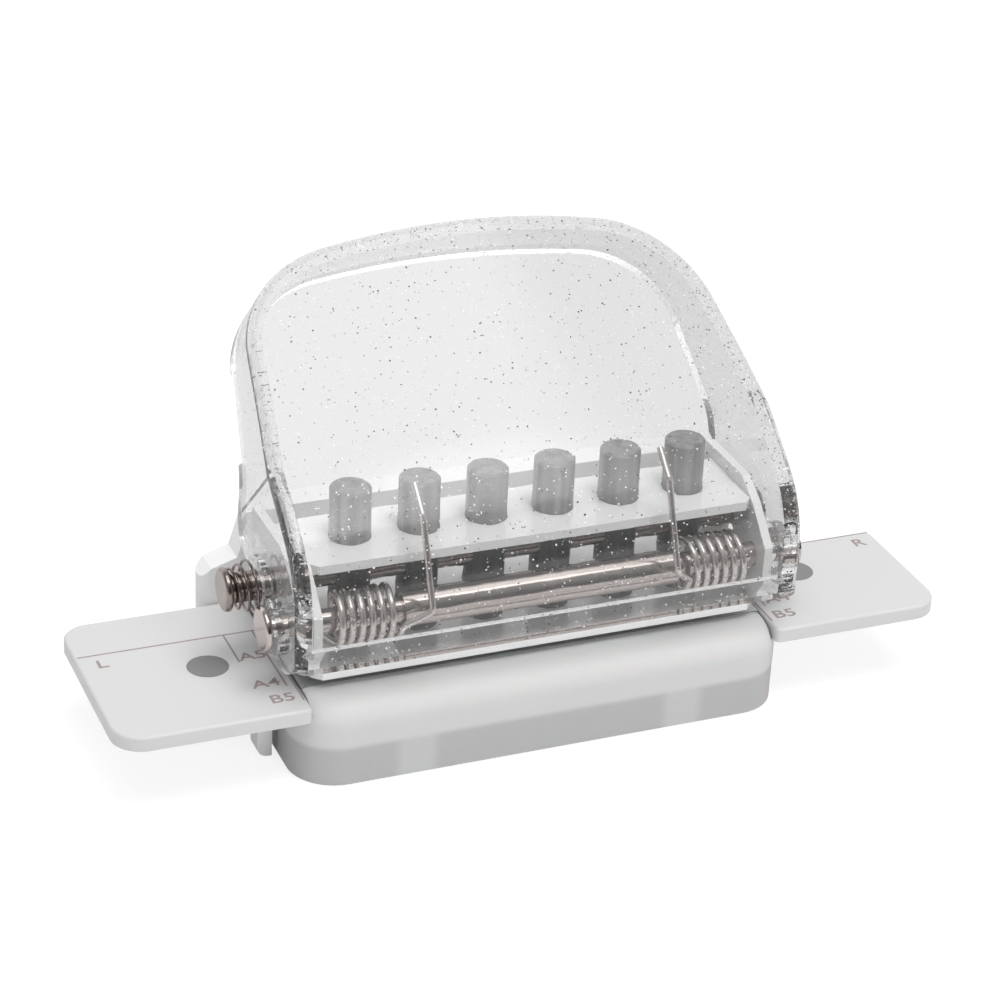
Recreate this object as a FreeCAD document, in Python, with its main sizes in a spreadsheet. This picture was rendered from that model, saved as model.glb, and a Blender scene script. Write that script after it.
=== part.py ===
"""Six-hole punch for loose-leaf sheets: a clear hood lever drives six pins through a steel die.

Millimetres. X runs along the pin row, +Y away from the front, Z up from the table, and the
origin is on the table under the middle of the pin row.
"""
import FreeCAD, Part
import Sketcher
import math
import os
import re
from types import SimpleNamespace

Vec = FreeCAD.Vector
X_AXIS, Y_AXIS, Z_AXIS = Vec(1, 0, 0), Vec(0, 1, 0), Vec(0, 0, 1)
NEAR = 0.01  # places closer than this are the same
BEYOND = 1  # how far a cutting tool runs past what it cuts

doc = FreeCAD.newDocument("SixHolePunch")
sheet = doc.addObject("Spreadsheet::Sheet", "Size")

# Driving sizes, one cell each.
driving = {
    # pins and die
    "pin_count": 6, "pin_pitch": 9.5, "pin_radius": 2.75, "pin_top": 34.9, "pin_foot": 13.2,
    "pin_bevel": 0.3, "pin_notch": 1.1, "pin_stroke": 3.65,
    "bed_height": 11.7, "plate_thickness": 2.05, "die_front": 8.6, "die_overhang": 0.5,
    "slot_height": 1.3, "die_relief": 0.4, "stop_setback": 7.1, "stop_inset": 1.4,
    # pressed-steel frame
    "frame_half_length": 32.4, "sheet_thickness": 1.2, "guide_front": 10.0, "frame_rear": 13.6,
    "ear_rise": 1.8, "ear_front": 11.0, "ear_shoulder": 3.0, "ear_slope_run": 3.6,
    "ear_slope_drop": 2.2, "ear_nose": 2.5, "ear_chin": 4.4, "ear_root": 0.6, "ear_rear_top": 8.0,
    "ear_rear_height": 21.7, "ear_throat": 9.6, "guide_corner": 2.0, "bend_radius": 1.0,
    "guide_rise": 5.1, "upper_guide_front": 6.8, "upper_guide_rear": 6.0,
    "tenon_inset": 1.4, "tenon_width": 3.0, "upper_guide_corner": 1.0,
    # shaft, sleeve and cross rod
    "shaft_setback": 7.5, "shaft_height": 20.6, "shaft_radius": 1.5, "sleeve_radius": 2.2,
    "sleeve_play": 1.14, "rod_height": 22.8, "rod_radius": 1.6, "collar_radius": 2.0,
    "collar_setback": 0.6, "button_room": 3.8, "button_radius": 2.95, "button_thickness": 1.0,
    "head_radius": 3.0, "head_thickness": 1.0, "head_round": 0.45, "clip_radius": 2.9,
    "clip_thickness": 0.6, "clip_gap": 0.15, "end_stub": 0.6, "groove_depth": 0.35, "clip_mouth": 1.1,
    # clear hood lever
    "hood_side_play": 0.7, "hood_wall": 2.3, "hood_front": 15.0, "lip_bottom": 17.2,
    "lip_top": 19.5, "lip_depth": 3.2, "bend_start": 23.7, "front_bend_radius": 14.0,
    "front_bend_turn": 50.0, "sweep_radius": 126.0, "sweep_turn": 11.0, "crown_start": 14.5,
    "crown_run": 56.0, "crown": 4.4, "crown_power": 1.25, "rim_tilt": 43.5, "hood_reach": 50.4,
    "side_lean": 6.9, "lean_start": 17.5, "hood_corner": 16.0, "top_bow_radius": 130.0,
    "edge_radius": 1.8, "hood_ear_radius": 6.3, "rear_foot_setback": 10.3, "rear_foot_height": 25.0,
    "rear_bend_setback": 11.2, "rear_bend_height": 32.2, "rear_bend_radius": 6.0,
    "rear_foot_radius": 2.4, "slot_play": 0.12, "boss_radius": 3.7, "boss_rise": 1.6,
    "pad_rise": 0.8, "pad_radius": 3.9,
    # springs
    "coil_wire": 0.45, "coil_radius": 3.2, "coil_turns": 6, "coil_pitch": 1.36, "coil_setback": 2.5,
    "tail_angle": 255.0, "leg_angle": 210.0, "leg_setback": 3.24, "leg_rise": 1.6, "leg_gap": 0.15,
    "leg_bend": 1.0, "leg_foot_height": 22.4, "leg_crook": 14.6, "leg_end": 4.6, "leg_shift": 0.6,
    "cone_wire": 0.18, "cone_large": 3.7, "cone_small": 2.45, "cone_turns": 3,
    # base, tray and guide plates
    "base_overhang": 6.4, "base_corner": 1.5, "tab_front": 5.5, "tab_depth": 3.0, "tab_round": 1.4,
    "tab_inset": 1.1,
    "cheek_front": 8.0, "base_rear": 19.9,
    "rear_wall": 4.1, "deck_thickness": 2.0, "chute_inset": 2.1, "chute_rear": 7.4,
    "cheek_thickness": 3.1, "rear_shoulder": 16.9, "shoulder_cut": 1.4, "rear_ramp": 18.1,
    "rear_top": 24.7, "hump_inset": 0.2, "hump_lean": 1.6, "hump_cut": 1.5,
    "tray_overhang": 2.4, "tray_front": 15.2, "tray_wall": 1.6, "tray_floor": 1.4,
    "tray_corner": 6.4, "tray_inner_corner": 4.0, "tray_rear_corner": 2.6, "tray_rear": 15.4,
    "bed_overhang": 0.4, "bed_depth": 6.45, "bed_underside": 5.4, "bed_round": 3.2,
    "tray_rib_place": 19.0, "tray_rib_width": 5.0, "tray_base_height": 7.3,
    "plate_gap": 0.7, "plate_length": 25.6, "plate_front": 14.3,
    "plate_rear_left": 15.5, "plate_rear_right": 7.4,
    "plate_corner": 4.2, "plate_rear_corner_left": 3.6, "plate_rear_corner_right": 1.0,
    "plate_inner_corner": 0.8, "plate_round": 0.4,
    "locator_inset": 9.65, "locator_radius": 2.75,
    "peg_radius": 1.5, "peg_length": 1.2, "peg_inset": 3.3, "peg_front": -1.0, "peg_rear": 5.2,
    # screws and clearances
    "screw_radius": 1.0, "screw_head_radius": 1.9, "screw_head_height": 1.3,
    "screw_setback": 10.4, "screw_inset": 4.4, "screw_inner": 9.5, "screw_depth": 4.2,
    "screw_slot": 0.5, "boss_outer": 2.4, "boss_foot": 2.8,
    "running_gap": 0.06, "seat_gap": 0.03, "slide_gap": 0.15, "free_gap": 0.3, "root": 0.3,
}
# Places and lengths that follow the frame, the rod or the coil.
following = {
    "die_half_length": "frame_half_length + die_overhang",
    "stop_half_length": "frame_half_length - stop_inset",
    "screw_outer": "frame_half_length - screw_inset",
    "upper_guide_top": "rod_height + guide_rise",
    "ear_top": "upper_guide_top + ear_rise",
    "hood_half_width": "frame_half_length + hood_side_play + hood_wall",
    "boss_reach": "hood_half_width + boss_rise",
    "pad_reach": "hood_half_width + pad_rise",
    "collar_start": "frame_half_length + collar_setback",
    "button_face": "pad_reach + button_room + button_thickness",
    "coil_start": "frame_half_length - sheet_thickness - coil_setback",
    "sleeve_half_length": "coil_start - coil_pitch * coil_turns - sleeve_play",
    "leg_plane": "coil_start - coil_pitch * coil_turns - leg_setback",
    "base_half_length": "frame_half_length + base_overhang",
    "rear_hump_half": "frame_half_length - hump_inset",
    "chute_half_length": "frame_half_length - chute_inset",
    "tray_half_length": "frame_half_length + tray_overhang",
    "bed_half_length": "frame_half_length + bed_overhang",
    "plate_inner": "frame_half_length + plate_gap",
    "plate_outer": "plate_inner + plate_length",
    "peg_place": "plate_inner + peg_inset",
    "locator_place": "plate_inner + locator_inset",
}
cells = {**driving, **{alias: f"={formula}" for alias, formula in following.items()}}
for row, alias in enumerate(cells, start=1):
    sheet.set(f"A{row}", alias)
    sheet.setAlias(f"B{row}", alias)
for row, content in enumerate(cells.values(), start=1):
    sheet.set(f"B{row}", str(content))
doc.recompute()
size = SimpleNamespace(**{alias: float(sheet.get(alias)) for alias in cells})
nodes = []


def linked(text):
    """Write a formula's size names as references to the sheet."""
    def reference(match):
        word = match.group(0)
        return f"Size.{word}" if word in cells else word
    return re.sub(r"[a-z][a-z_]+", reference, text)


def bind(item, **formulas):
    """Tie properties of item to the sheet; a double underscore stands for a dot in a path."""
    for path, text in formulas.items():
        item.setExpression(path.replace("__", "."), linked(text))
    return item


def block(name, x, y, z, length, width, height):
    """A box from its lowest corner."""
    item = doc.addObject("Part::Box", name)
    return bind(item, Length=length, Width=width, Height=height, Placement__Base__x=x,
                Placement__Base__y=y, Placement__Base__z=z)


def bar(name, x, y, z, radius, length, along=Z_AXIS):
    """A round bar from the middle of its first face."""
    item = doc.addObject("Part::Cylinder", name)
    item.Placement = FreeCAD.Placement(Vec(), FreeCAD.Rotation(Z_AXIS, along))
    return bind(item, Radius=radius, Height=length, Placement__Base__x=x,
                Placement__Base__y=y, Placement__Base__z=z)


def union(name, *shapes):
    item = doc.addObject("Part::MultiFuse", name)
    item.Shapes = list(shapes)
    item.Refine = True
    return item


def cut(name, base, *tools):
    item = doc.addObject("Part::Cut", name)
    item.Base = base
    item.Tool = tools[0] if len(tools) == 1 else union(name + "Tools", *tools)
    item.Refine = True
    return item


def rounded(name, base, radius, wanted, chamfer=False):
    """Fillet or chamfer the edges of base that wanted picks."""
    doc.recompute()
    item = doc.addObject("Part::Chamfer" if chamfer else "Part::Fillet", name)
    item.Base = base
    edges = base.Shape.Edges
    item.Edges = [(index, radius, radius) for index, edge in enumerate(edges, start=1) if wanted(edge)]
    return item


def node(label, item):
    """Name a finished sub-part; the label is also its file's name."""
    item.Label = label
    nodes.append(item)
    return item


def solid_node(label, shape):
    item = doc.addObject("Part::Feature", label.title().replace("_", ""))
    item.Shape = shape
    return node(label, item)


def body_plane(body, role):
    return next(part for part in body.Origin.OriginFeatures if part.Role == role)


def sketch(body, name, role, offset, loops=(), circles=()):
    """A sketch on an origin plane, moved by offset, with every corner and circle tied to the sheet."""
    item = body.newObject("Sketcher::SketchObject", name)
    item.AttachmentSupport = (body_plane(body, role), [""])
    item.MapMode = "FlatFace"
    item.setExpression("AttachmentOffset.Base.z", linked(offset))
    for corners in loops:
        first = item.GeometryCount
        count = len(corners)
        spots = [Vec(math.cos(math.tau * k / count), math.sin(math.tau * k / count), 0) for k in range(count)]
        for k in range(count):
            item.addGeometry(Part.LineSegment(spots[k], spots[(k + 1) % count]), False)
        for k in range(count):
            following = first + (k + 1) % count
            item.addConstraint(Sketcher.Constraint("Coincident", first + k, 2, following, 1))
        for k, corner in enumerate(corners):
            for kind, text in zip(("DistanceX", "DistanceY"), corner):
                index = item.addConstraint(Sketcher.Constraint(kind, -1, 1, first + k, 1, 1.0))
                item.setExpression(f"Constraints[{index}]", linked(text))
    for across, along, radius in circles:
        ring = item.addGeometry(Part.Circle(Vec(), Z_AXIS, 1), False)
        for kind, text in zip(("DistanceX", "DistanceY"), (across, along)):
            index = item.addConstraint(Sketcher.Constraint(kind, -1, 1, ring, 3, 1.0))
            item.setExpression(f"Constraints[{index}]", linked(text))
        index = item.addConstraint(Sketcher.Constraint("Radius", ring, 1.0))
        item.setExpression(f"Constraints[{index}]", linked(radius))
    return item


def pad(body, profile, length, backwards=False):
    item = body.newObject("PartDesign::Pad", profile.Name + "Pad")
    item.Profile = profile
    item.Reversed = backwards
    profile.Visibility = False
    return bind(item, Length=length)


def pocket(body, profile, length, backwards=False):
    item = body.newObject("PartDesign::Pocket", profile.Name + "Pocket")
    item.Profile = profile
    item.Reversed = backwards
    return bind(item, Length=length)


def fillet(body, name, radius, wanted):
    """Fillet the edges of the body's last feature that wanted picks."""
    doc.recompute()
    tip = body.Tip
    item = body.newObject("PartDesign::Fillet", name)
    names = [f"Edge{index}" for index, edge in enumerate(tip.Shape.Edges, start=1) if wanted(edge)]
    item.Base = (tip, names)
    return bind(item, Radius=radius)


def rectangle(low_x, low_y, high_x, high_y):
    return [(low_x, low_y), (high_x, low_y), (high_x, high_y), (low_x, high_y)]


def upright(edge):
    """True for a straight vertical edge."""
    first, last = edge.Vertexes[0].Point, edge.Vertexes[-1].Point
    return edge.Curve.TypeId == "Part::GeomLine" and abs(first.x - last.x) + abs(first.y - last.y) < NEAR


def middle(edge):
    return edge.valueAt((edge.FirstParameter + edge.LastParameter) / 2)


SIDES = (("left", -1), ("right", 1))
pin_places = [f"({k} - (pin_count - 1) / 2) * pin_pitch" for k in range(int(size.pin_count))]
screw_places = ["-screw_outer", "-screw_inner", "screw_inner", "screw_outer"]
frame_foot = "bed_height + slot_height"
flange_top = "bed_height + slot_height + sheet_thickness"
plate_underside = "bed_height - plate_thickness"


# Base: deck with an open chute, end cheeks down to the table, raised rear wall and screw bosses.
base = doc.addObject("PartDesign::Body", "Base")
deck = sketch(base, "Deck", "XY_Plane", f"{plate_underside} - deck_thickness", [[
    ("-base_half_length", "-tab_front"), ("-chute_half_length", "-tab_front"),
    ("-chute_half_length", "chute_rear"), ("chute_half_length", "chute_rear"),
    ("chute_half_length", "-tab_front"), ("base_half_length", "-tab_front"),
    ("base_half_length", "base_rear"), ("-base_half_length", "base_rear")]])
pad(base, deck, "deck_thickness")
cheeks = sketch(base, "Cheeks", "XY_Plane", "0", [
    rectangle(f"{sign} * (base_half_length - {inset})", near,
              f"{sign} * (base_half_length - cheek_thickness)", far)
    for sign in ("-1", "1") for inset, near, far in (
        ("tab_inset", "-tab_front", "tab_depth - tab_front"), ("0", "cheek_front", "base_rear"))])
pad(base, cheeks, plate_underside)
rear_half = [
    ("base_half_length", "0"), ("base_half_length", "rear_shoulder - shoulder_cut"),
    ("base_half_length - shoulder_cut", "rear_shoulder"), ("rear_hump_half + hump_lean", "rear_ramp"),
    ("rear_hump_half", "rear_top - hump_cut"), ("rear_hump_half - hump_cut", "rear_top")]
rear = sketch(base, "RearWall", "XZ_Plane", "-base_rear",
              [rear_half + [(f"-({across})", height) for across, height in reversed(rear_half)]])
pad(base, rear, "rear_wall")
bosses = sketch(base, "Bosses", "XY_Plane", "boss_foot", circles=[
    (place, "screw_setback", "boss_outer") for place in screw_places])
pad(base, bosses, f"{plate_underside} - boss_foot")
pilots = sketch(base, "Pilots", "XY_Plane", plate_underside, circles=[
    (place, "screw_setback", "screw_radius + seat_gap") for place in screw_places])
pocket(base, pilots, "screw_depth + free_gap")
pegs = sketch(base, "PegHoles", "XY_Plane", plate_underside, circles=[
    (across, along, "peg_radius + seat_gap")
    for across in ("-peg_place", "peg_place") for along in ("peg_front", "peg_rear")])
pocket(base, pegs, "peg_length + slide_gap")
fillet(base, "RearCorners", "base_corner", lambda edge: upright(edge) and
       abs(abs(middle(edge).x) - size.base_half_length) < NEAR and middle(edge).y > size.plate_rear_left)
fillet(base, "TabCorners", "tab_round", lambda edge: middle(edge).z < NEAR and
       middle(edge).y < size.tab_depth - size.tab_front and
       abs(abs(middle(edge).x) - size.base_half_length + size.tab_inset) < NEAR)
node("base_body", base)

# Chip tray: open box under the die, with the rounded paper bed as its front bar.
tray = doc.addObject("PartDesign::Body", "Tray")
tray_box = sketch(tray, "TrayBox", "XY_Plane", "0", [
    rectangle("-tray_half_length", "-tray_front", "tray_half_length", "tray_rear")])
pad(tray, tray_box, "tray_base_height")
bed_bar = sketch(tray, "BedBar", "XY_Plane", "0", [
    rectangle("-tray_half_length", "-tray_front", "tray_half_length", "bed_depth - tray_front")])
pad(tray, bed_bar, "bed_height")
hollow = sketch(tray, "TrayHollow", "XY_Plane", "tray_base_height", [
    rectangle("tray_wall - tray_half_length", "bed_depth - tray_front",
              "tray_half_length - tray_wall", "tray_rear - tray_wall")])
pocket(tray, hollow, "tray_base_height - tray_floor")
under_bed = sketch(tray, "UnderBed", "XY_Plane", "bed_underside", [
    rectangle("tray_wall - tray_half_length", "tray_wall - tray_front",
              "tray_half_length - tray_wall", "bed_depth - tray_front + root")])
pocket(tray, under_bed, "bed_underside - tray_floor")
fillet(tray, "HollowCorners", "tray_inner_corner", lambda edge: upright(edge) and
       abs(middle(edge).y + size.tray_front - size.tray_wall) < NEAR)
fillet(tray, "TrayFrontCorners", "tray_corner", lambda edge: upright(edge) and
       abs(middle(edge).y + size.tray_front) < NEAR)
fillet(tray, "TrayRearCorners", "tray_rear_corner", lambda edge: upright(edge) and
       abs(middle(edge).y - size.tray_rear) < NEAR)
fillet(tray, "BedRound", "bed_round", lambda edge:
       abs(middle(edge).z - size.bed_height) < NEAR and abs(middle(edge).y + size.tray_front) < NEAR)
bed_ends = sketch(tray, "BedEnds", "XY_Plane", f"bed_height + {BEYOND}", [
    rectangle(f"{sign} * bed_half_length", f"-tray_front - {BEYOND}",
              f"{sign} * (tray_half_length + {BEYOND})", "0")
    for sign in ("-1", "1")])
pocket(tray, bed_ends, f"bed_height + {BEYOND} - ({plate_underside} - slide_gap)")
tray_ribs = sketch(tray, "TrayRibs", "XY_Plane", "tray_floor - root", [
    rectangle(f"{sign} * tray_rib_place - tray_rib_width / 2", "tray_wall - root - tray_front",
              f"{sign} * tray_rib_place + tray_rib_width / 2", "bed_depth - tray_front - root")
    for sign in ("-1", "1")])
pad(tray, tray_ribs, "bed_underside - tray_floor + 2 * root")
node("chip_tray", tray)

# Guide plates with pegs into the deck, and a grey locator disc flush in each. The right one ends
# just behind its fence line.
for side, sign in SIDES:
    plate = doc.addObject("PartDesign::Body", f"Plate{side.title()}")
    outline = sketch(plate, f"Plate{side.title()}Outline", "XY_Plane", plate_underside, [
        rectangle(f"{sign} * plate_inner", "-plate_front", f"{sign} * plate_outer",
                  f"plate_rear_{side}")])
    pad(plate, outline, "plate_thickness")
    for end, radius, facing in (("Front", "plate_corner", -1), ("Rear", f"plate_rear_corner_{side}", 1)):
        fillet(plate, f"Plate{side.title()}{end}Corner", radius, lambda edge: upright(edge) and
               middle(edge).y * facing > 0 and abs(abs(middle(edge).x) - size.plate_outer) < NEAR)
    fillet(plate, f"Plate{side.title()}InnerCorners", "plate_inner_corner", lambda edge: upright(edge) and
           abs(abs(middle(edge).x) - size.plate_inner) < NEAR)
    fillet(plate, f"Plate{side.title()}Rims", "plate_round", lambda edge:
           abs(middle(edge).z - size.bed_height) < NEAR)
    seat = sketch(plate, f"Plate{side.title()}Seat", "XY_Plane", "bed_height", circles=[
        (f"{sign} * locator_place", "0", "locator_radius + seat_gap")])
    pocket(plate, seat, f"plate_thickness + {BEYOND}")
    plate_pegs = sketch(plate, f"Plate{side.title()}Pegs", "XY_Plane", plate_underside, circles=[
        (f"{sign} * peg_place", along, "peg_radius") for along in ("peg_front", "peg_rear")])
    pad(plate, plate_pegs, "peg_length", backwards=True)
    node(f"guide_plate_{side}", plate)
    disc = bar(f"Locator{side.title()}", f"{sign} * locator_place", "0", plate_underside,
               "locator_radius", "plate_thickness")
    node(f"locator_{side}", disc)

# Die plate: hardened strip with six cutting holes, relieved from below.
die_blank = block("DieBlank", "-die_half_length", "-die_front", plate_underside,
                  "2 * die_half_length", "die_front + frame_rear", "plate_thickness")
die_tools = []
for number, place in enumerate(pin_places, start=1):
    die_tools.append(bar(f"DieHole{number}", place, "0", f"{plate_underside} - {BEYOND}",
                         "pin_radius + running_gap", f"plate_thickness + {2 * BEYOND}"))
    die_tools.append(bar(f"DieRelief{number}", place, "0", f"{plate_underside} - {BEYOND}",
                         "pin_radius + die_relief", f"plate_thickness / 2 + {BEYOND}"))
for number, place in enumerate(screw_places, start=1):
    die_tools.append(bar(f"DieScrewHole{number}", place, "screw_setback", f"{plate_underside} - {BEYOND}",
                         "screw_radius + seat_gap", f"plate_thickness + {2 * BEYOND}"))
node("die_plate", cut("DiePlate", die_blank, *die_tools))

# Paper stop: the bar that keeps the slot open and that the sheet's edge meets.
stop_blank = block("StopBlank", "-stop_half_length", "stop_setback", "bed_height",
                   "2 * stop_half_length", "frame_rear - stop_setback", "slot_height")
stop_holes = [bar(f"StopHole{number}", place, "screw_setback", f"bed_height - {BEYOND}",
                  "screw_radius + seat_gap", f"slot_height + {2 * BEYOND}")
              for number, place in enumerate(screw_places, start=1)]
node("paper_stop", cut("PaperStop", stop_blank, *stop_holes))

# Punch frame: lower guide flange and two ears folded from one sheet.
frame = doc.addObject("PartDesign::Body", "Frame")
flange = sketch(frame, "Flange", "XY_Plane", frame_foot, [[
    ("-frame_half_length", "guide_corner - guide_front"),
    ("guide_corner - frame_half_length", "-guide_front"),
    ("frame_half_length - guide_corner", "-guide_front"),
    ("frame_half_length", "guide_corner - guide_front"),
    ("frame_half_length", "frame_rear"), ("-frame_half_length", "frame_rear")]])
pad(frame, flange, "sheet_thickness")
ear_outline = [
    ("guide_corner - guide_front", frame_foot), ("frame_rear", frame_foot),
    ("frame_rear", "ear_rear_height"), ("ear_rear_top", "ear_top"), ("-ear_shoulder", "ear_top"),
    ("-ear_shoulder - ear_slope_run", "ear_top - ear_slope_drop"), ("-ear_front", "shaft_height + ear_nose"),
    ("-ear_front", "shaft_height - ear_nose"), ("-ear_throat", "shaft_height - ear_chin"),
    ("-ear_throat", f"{flange_top} + ear_root")]
for side, offset in (("Left", "-frame_half_length"), ("Right", "frame_half_length - sheet_thickness")):
    ear = sketch(frame, f"Ear{side}", "YZ_Plane", offset, [ear_outline])
    pad(frame, ear, "sheet_thickness")
guide_bores = sketch(frame, "GuideBores", "XY_Plane", flange_top, circles=[
    (place, "0", "pin_radius + running_gap") for place in pin_places] + [
    (place, "screw_setback", "screw_radius + seat_gap") for place in screw_places])
pocket(frame, guide_bores, f"sheet_thickness + {BEYOND}")
shaft_bores = sketch(frame, "ShaftBores", "YZ_Plane", f"frame_half_length + {BEYOND}", circles=[
    ("-shaft_setback", "shaft_height", "shaft_radius + running_gap")])
pocket(frame, shaft_bores, f"2 * (frame_half_length + {BEYOND})")
drive_slots = sketch(frame, "DriveSlots", "YZ_Plane", f"frame_half_length + {BEYOND}", [rectangle(
    "-rod_radius - slide_gap", "rod_height - pin_stroke", "rod_radius + slide_gap", "rod_height")])
pocket(frame, drive_slots, f"2 * (frame_half_length + {BEYOND})")
for name, height in (("SlotTop", "rod_height"), ("SlotFoot", "rod_height - pin_stroke")):
    slot_end = sketch(frame, name, "YZ_Plane", f"frame_half_length + {BEYOND}", circles=[
        ("0", height, "rod_radius + slide_gap")])
    pocket(frame, slot_end, f"2 * (frame_half_length + {BEYOND})")
    lock_hole = sketch(frame, name + "Lock", "YZ_Plane", f"sheet_thickness + {BEYOND} - frame_half_length",
                       circles=[("0", height, "collar_radius + slide_gap")])
    pocket(frame, lock_hole, f"sheet_thickness + {2 * BEYOND}")
tenon_slots = sketch(frame, "TenonSlots", "YZ_Plane", f"frame_half_length + {BEYOND}", [rectangle(
    low, "upper_guide_top - sheet_thickness - seat_gap", high, "upper_guide_top + seat_gap")
    for low, high in (
        ("tenon_inset - upper_guide_front - seat_gap",
         "tenon_inset + tenon_width - upper_guide_front + seat_gap"),
        ("upper_guide_rear - tenon_inset - tenon_width - seat_gap",
         "upper_guide_rear - tenon_inset + seat_gap"))])
pocket(frame, tenon_slots, f"2 * (frame_half_length + {BEYOND})")
fillet(frame, "FrameBends", "bend_radius", lambda edge: edge.Curve.TypeId == "Part::GeomLine" and
       abs(abs(middle(edge).x) - size.frame_half_length) < NEAR and
       abs(middle(edge).z - size.bed_height - size.slot_height) < NEAR and
       edge.Length > size.guide_front)
node("punch_frame", frame)

# Upper pin guide: plate between the ears, held by two tenons at each end.
guide_inner = "(frame_half_length - sheet_thickness - seat_gap)"
guide = doc.addObject("PartDesign::Body", "PinGuide")
guide_plan = sketch(guide, "GuidePlan", "XY_Plane", "upper_guide_top - sheet_thickness", [[
    (f"-{guide_inner}", "upper_guide_corner - upper_guide_front"),
    (f"upper_guide_corner - {guide_inner}", "-upper_guide_front"),
    (f"{guide_inner} - upper_guide_corner", "-upper_guide_front"),
    (guide_inner, "upper_guide_corner - upper_guide_front"),
    (guide_inner, "upper_guide_rear"), (f"-{guide_inner}", "upper_guide_rear")]])
pad(guide, guide_plan, "sheet_thickness")
tenons = sketch(guide, "Tenons", "XY_Plane", "upper_guide_top - sheet_thickness", [
    rectangle("-frame_half_length", low, "frame_half_length", high) for low, high in (
        ("tenon_inset - upper_guide_front", "tenon_inset + tenon_width - upper_guide_front"),
        ("upper_guide_rear - tenon_inset - tenon_width", "upper_guide_rear - tenon_inset"))])
pad(guide, tenons, "sheet_thickness")
upper_bores = sketch(guide, "UpperBores", "XY_Plane", "upper_guide_top", circles=[
    (place, "0", "pin_radius + running_gap") for place in pin_places])
pocket(guide, upper_bores, f"sheet_thickness + {BEYOND}")
node("pin_guide", guide)

# Four slotted pan-head screws clamp frame, stop and die plate to the base's bosses.
screws = []
for number, place in enumerate(screw_places, start=1):
    shank = bar(f"Shank{number}", place, "screw_setback", f"{plate_underside} - screw_depth",
                "screw_radius", f"{flange_top} - ({plate_underside}) + screw_depth")
    head = bar(f"Pan{number}", place, "screw_setback", flange_top, "screw_head_radius", "screw_head_height")
    drive = block(f"Drive{number}", f"{place} - screw_head_radius - {BEYOND}",
                  "screw_setback - screw_slot / 2", f"{flange_top} + screw_head_height / 2",
                  f"2 * (screw_head_radius + {BEYOND})", "screw_slot",
                  "screw_head_height")
    screws.append(cut(f"Screw{number}", union(f"ScrewBlank{number}", shank, head), drive))
screw_group = doc.addObject("Part::Compound", "FrameScrews")
screw_group.Links = screws
node("frame_screws", screw_group)

# Punch pins: hardened, bevelled on top, with a cross bore for the rod and a saddle-cut foot.
for number, place in enumerate(pin_places, start=1):
    stem = bar(f"Stem{number}", place, "0", "pin_foot", "pin_radius", "pin_top - pin_foot")
    cross_bore = bar(f"CrossBore{number}", f"{place} - pin_pitch / 2", "0", "rod_height",
                     "rod_radius + running_gap", "pin_pitch", X_AXIS)
    saddle = bar(f"Saddle{number}", place, "-pin_pitch / 2", "pin_foot - pin_radius * 2 + pin_notch",
                 "pin_radius * 2", "pin_pitch", Y_AXIS)
    drilled = cut(f"Drilled{number}", stem, cross_bore, saddle)
    bevelled = rounded(f"Pin{number}", drilled, size.pin_bevel, lambda edge:
                       abs(middle(edge).z - size.pin_top) < NEAR and edge.Closed, chamfer=True)
    node(f"punch_pin_{number}", bevelled)

# Cross rod with its push-button head; the collar behind the head locks in the left ear.
rod_end = "(pad_reach + clip_gap + clip_thickness + end_stub)"
plain_rod = bar("PlainRod", "-button_face + button_thickness", "0", "rod_height", "rod_radius",
                f"button_face - button_thickness + {rod_end}", X_AXIS)
collar = bar("Collar", "-button_face + button_thickness", "0", "rod_height", "collar_radius",
             "button_face - button_thickness - collar_start", X_AXIS)
button = bar("Button", "-button_face", "0", "rod_height", "button_radius", "button_thickness", X_AXIS)
rod_groove = cut("RodGroove",
                 bar("RodGrooveOuter", "pad_reach + clip_gap", "0", "rod_height", f"rod_radius + {BEYOND}",
                     "clip_thickness", X_AXIS),
                 bar("RodGrooveCore", "pad_reach + clip_gap", "0", "rod_height", "rod_radius - groove_depth",
                     "clip_thickness", X_AXIS))
rod_blank = cut("RodBlank", union("RodStock", plain_rod, collar, button), rod_groove)
node("lock_rod", rounded("LockRod", rod_blank, size.head_round, lambda edge:
                         edge.Closed and abs(edge.Length - math.tau * size.button_radius) < NEAR))

# Hinge shaft with its disc head outside the left ear, and the sleeve between the springs.
shaft_end = "(boss_reach + clip_gap + clip_thickness + end_stub)"
plain_shaft = bar("PlainShaft", "-boss_reach - clip_gap", "-shaft_setback", "shaft_height",
                  "shaft_radius", f"boss_reach + clip_gap + {shaft_end}", X_AXIS)
disc_head = bar("DiscHead", "-boss_reach - clip_gap - head_thickness", "-shaft_setback", "shaft_height",
                "head_radius", "head_thickness", X_AXIS)
shaft_groove = cut("ShaftGroove",
                   bar("ShaftGrooveOuter", "boss_reach + clip_gap", "-shaft_setback", "shaft_height",
                       f"shaft_radius + {BEYOND}", "clip_thickness", X_AXIS),
                   bar("ShaftGrooveCore", "boss_reach + clip_gap", "-shaft_setback", "shaft_height",
                       "shaft_radius - groove_depth", "clip_thickness", X_AXIS))
shaft_blank = cut("ShaftBlank", union("ShaftStock", plain_shaft, disc_head), shaft_groove)
node("hinge_shaft", rounded("HingeShaft", shaft_blank, size.head_round, lambda edge:
                            edge.Closed and abs(edge.Length - math.tau * size.head_radius) < NEAR))
sleeve_stock = bar("SleeveStock", "-sleeve_half_length", "-shaft_setback", "shaft_height",
                   "sleeve_radius", "2 * sleeve_half_length", X_AXIS)
sleeve_bore = bar("SleeveBore", f"-sleeve_half_length - {BEYOND}", "-shaft_setback", "shaft_height",
                  "shaft_radius + seat_gap", f"2 * (sleeve_half_length + {BEYOND})", X_AXIS)
node("spacer_sleeve", cut("SpacerSleeve", sleeve_stock, sleeve_bore))

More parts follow.
